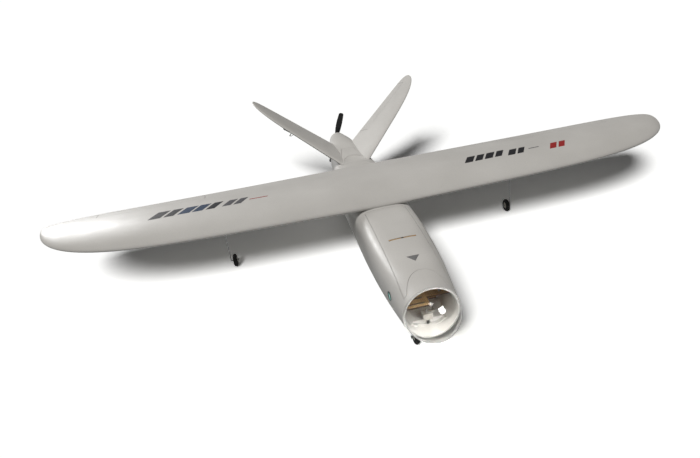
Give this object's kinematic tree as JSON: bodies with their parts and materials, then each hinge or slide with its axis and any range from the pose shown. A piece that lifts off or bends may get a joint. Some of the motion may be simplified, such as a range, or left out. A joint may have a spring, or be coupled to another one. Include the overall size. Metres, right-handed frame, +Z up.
{
  "type": "fixed wing drone",
  "caption": "White foam V-tail drone with a clear nose dome, rear pusher propeller, hinged control surfaces, opening hatches and fixed tricycle wheels.",
  "frame": {"origin": "on the ground under the wheels, midway between the wing tips and midway between the dome tip and the propeller nut", "axes": "+X to the port wing tip, +Y aft, +Z up; the nose points to -Y"},
  "size_m": [1.6892, 1.1216, 0.3126],
  "materials": {
    "foam": "satin",
    "clear_dome": "gloss",
    "plywood": "satin",
    "carbon": "satin",
    "servo_case": "satin",
    "white_nylon": "satin",
    "black_plastic": "matte",
    "steel_wire": "satin",
    "wheel_hub": "satin",
    "tyre_rubber": "matte",
    "battery_wrap": "gloss",
    "strap_webbing": "matte",
    "electronics": "matte",
    "motor_metal": "satin",
    "motor_black": "satin",
    "red_anodised": "satin",
    "prop_black": "satin",
    "teal_lens": "gloss"
  },
  "bodies": {
    "airframe": {"fuselage_left": "foam", "fuselage_right": "foam", "nose_dome": "clear_dome", "hatch_magnets": "steel_wire", "side_light": "teal_lens", "camera_shelf": "plywood", "equipment_tray": "plywood", "wing_plate": "plywood", "wing_bolts": "white_nylon", "battery": "battery_wrap", "battery_strap": "strap_webbing", "speed_controller": "electronics", "receiver": "electronics", "autopilot": "electronics", "wing_left": "foam", "wing_right": "foam", "spar_tube": "carbon", "fin_left": "foam", "fin_right": "foam", "aileron_servo_left": "servo_case", "aileron_servo_right": "servo_case", "tail_servo_left": "servo_case", "tail_servo_right": "servo_case", "firewall": "plywood", "motor_stator": "motor_metal", "leg_plates": "black_plastic", "main_leg_left": "steel_wire", "main_leg_right": "steel_wire", "nose_bearing": "black_plastic", "steering_servo": "servo_case"},
    "front_hatch": {"front_hatch": "foam"},
    "rear_hatch": {"rear_hatch": "foam"},
    "propeller": {"motor_can": "motor_black", "prop_adapter": "red_anodised", "propeller": "prop_black"},
    "main_wheel_left": {"main_hub_left": "wheel_hub", "main_tyre_left": "tyre_rubber"},
    "main_wheel_right": {"main_hub_right": "wheel_hub", "main_tyre_right": "tyre_rubber"},
    "nose_leg": {"nose_leg": "steel_wire"},
    "nose_wheel": {"nose_hub": "wheel_hub", "nose_tyre": "tyre_rubber"},
    "steering_arm": {"steering_arm": "white_nylon"},
    "steering_rod": {"steering_rod": "steel_wire"},
    "aileron_left": {"aileron_left": "foam", "aileron_horn_left": "black_plastic"},
    "ruddervator_left": {"ruddervator_left": "foam", "tail_horn_left": "black_plastic"},
    "aileron_arm_left": {"aileron_arm_left": "white_nylon"},
    "tail_arm_left": {"tail_arm_left": "white_nylon"},
    "aileron_rod_left": {"aileron_rod_left": "steel_wire"},
    "tail_rod_left": {"tail_rod_left": "steel_wire"},
    "aileron_right": {"aileron_right": "foam", "aileron_horn_right": "black_plastic"},
    "ruddervator_right": {"ruddervator_right": "foam", "tail_horn_right": "black_plastic"},
    "aileron_arm_right": {"aileron_arm_right": "white_nylon"},
    "tail_arm_right": {"tail_arm_right": "white_nylon"},
    "aileron_rod_right": {"aileron_rod_right": "steel_wire"},
    "tail_rod_right": {"tail_rod_right": "steel_wire"}
  },
  "joints": [
    {"name": "aileron_left_hinge", "type": "hinge", "parent": "airframe", "child": "aileron_left", "pos_m": [0.5675, 0.0664, 0.19178], "axis": [0.9991, -0.0383, 0.0179], "range_deg": [-25, 25]},
    {"name": "aileron_arm_left_pivot", "type": "hinge", "parent": "airframe", "child": "aileron_arm_left", "pos_m": [0.56499, -0.00554, 0.17773], "axis": [0.9991, -0.0383, 0.0179], "range_deg": [-25, 25]},
    {"name": "aileron_rod_left_pivot", "type": "hinge", "parent": "aileron_arm_left", "child": "aileron_rod_left", "pos_m": [0.56537, -0.00554, 0.1563], "axis": [0.9991, -0.0383, 0.0179], "range_deg": [-25, 25]},
    {"name": "ruddervator_left_hinge", "type": "hinge", "parent": "airframe", "child": "ruddervator_left", "pos_m": [0.13077, 0.4067, 0.22784], "axis": [0.7339, 0.4536, 0.5056], "range_deg": [-25, 25]},
    {"name": "tail_arm_left_pivot", "type": "hinge", "parent": "airframe", "child": "tail_arm_left", "pos_m": [0.15754, 0.35501, 0.23536], "axis": [0.7339, 0.4536, 0.5056], "range_deg": [-25, 25]},
    {"name": "tail_rod_left_pivot", "type": "hinge", "parent": "tail_arm_left", "child": "tail_rod_left", "pos_m": [0.16573, 0.35501, 0.22347], "axis": [0.7339, 0.4536, 0.5056], "range_deg": [-25, 25]},
    {"name": "aileron_right_hinge", "type": "hinge", "parent": "airframe", "child": "aileron_right", "pos_m": [-0.5675, 0.0664, 0.19178], "axis": [0.9991, 0.0383, -0.0179], "range_deg": [-25, 25]},
    {"name": "aileron_arm_right_pivot", "type": "hinge", "parent": "airframe", "child": "aileron_arm_right", "pos_m": [-0.56499, -0.00554, 0.17773], "axis": [0.9991, 0.0383, -0.0179], "range_deg": [-25, 25]},
    {"name": "aileron_rod_right_pivot", "type": "hinge", "parent": "aileron_arm_right", "child": "aileron_rod_right", "pos_m": [-0.56537, -0.00554, 0.1563], "axis": [0.9991, 0.0383, -0.0179], "range_deg": [-25, 25]},
    {"name": "ruddervator_right_hinge", "type": "hinge", "parent": "airframe", "child": "ruddervator_right", "pos_m": [-0.13077, 0.4067, 0.22784], "axis": [0.7339, -0.4536, -0.5056], "range_deg": [-25, 25]},
    {"name": "tail_arm_right_pivot", "type": "hinge", "parent": "airframe", "child": "tail_arm_right", "pos_m": [-0.15754, 0.35501, 0.23536], "axis": [0.7339, -0.4536, -0.5056], "range_deg": [-25, 25]},
    {"name": "tail_rod_right_pivot", "type": "hinge", "parent": "tail_arm_right", "child": "tail_rod_right", "pos_m": [-0.16573, 0.35501, 0.22347], "axis": [0.7339, -0.4536, -0.5056], "range_deg": [-25, 25]},
    {"name": "front_hatch_hinge", "type": "hinge", "parent": "airframe", "child": "front_hatch", "pos_m": [0, -0.152, 0.168], "axis": [-1, 0, 0], "range_deg": [0, 75]},
    {"name": "rear_hatch_hinge", "type": "hinge", "parent": "airframe", "child": "rear_hatch", "pos_m": [0, 0.326, 0.16228], "axis": [-1, 0, 0], "range_deg": [0, 75]},
    {"name": "propeller_spin", "type": "hinge", "parent": "airframe", "child": "propeller", "pos_m": [0, 0.519, 0.124], "axis": [0, 1, 0], "continuous": true},
    {"name": "main_wheel_left_spin", "type": "hinge", "parent": "airframe", "child": "main_wheel_left", "pos_m": [0.386, 0.021, 0.0175], "axis": [1, 0, 0], "continuous": true},
    {"name": "main_wheel_right_spin", "type": "hinge", "parent": "airframe", "child": "main_wheel_right", "pos_m": [-0.386, 0.021, 0.0175], "axis": [1, 0, 0], "continuous": true},
    {"name": "nose_steering", "type": "hinge", "parent": "airframe", "child": "nose_leg", "pos_m": [0, -0.46, 0.0175], "axis": [0, 0, 1], "range_deg": [-25, 25]},
    {"name": "nose_wheel_spin", "type": "hinge", "parent": "nose_leg", "child": "nose_wheel", "pos_m": [-0.027, -0.46, 0.0175], "axis": [1, 0, 0], "continuous": true},
    {"name": "steering_arm_pivot", "type": "hinge", "parent": "airframe", "child": "steering_arm", "pos_m": [0, -0.39, 0.084], "axis": [0, 0, 1], "range_deg": [-25, 25]},
    {"name": "steering_rod_pivot", "type": "hinge", "parent": "steering_arm", "child": "steering_rod", "pos_m": [0.014, -0.39, 0.084], "axis": [0, 0, 1], "range_deg": [-25, 25]}
  ],
  "couplings": [
    {"joint": "aileron_arm_left_pivot", "follows": "aileron_left_hinge", "ratio": 1},
    {"joint": "aileron_rod_left_pivot", "follows": "aileron_left_hinge", "ratio": -1},
    {"joint": "tail_arm_left_pivot", "follows": "ruddervator_left_hinge", "ratio": 1},
    {"joint": "tail_rod_left_pivot", "follows": "ruddervator_left_hinge", "ratio": -1},
    {"joint": "aileron_arm_right_pivot", "follows": "aileron_right_hinge", "ratio": 1},
    {"joint": "aileron_rod_right_pivot", "follows": "aileron_right_hinge", "ratio": -1},
    {"joint": "tail_arm_right_pivot", "follows": "ruddervator_right_hinge", "ratio": 1},
    {"joint": "tail_rod_right_pivot", "follows": "ruddervator_right_hinge", "ratio": -1},
    {"joint": "steering_arm_pivot", "follows": "nose_steering", "ratio": 1},
    {"joint": "steering_rod_pivot", "follows": "nose_steering", "ratio": -1}
  ]
}
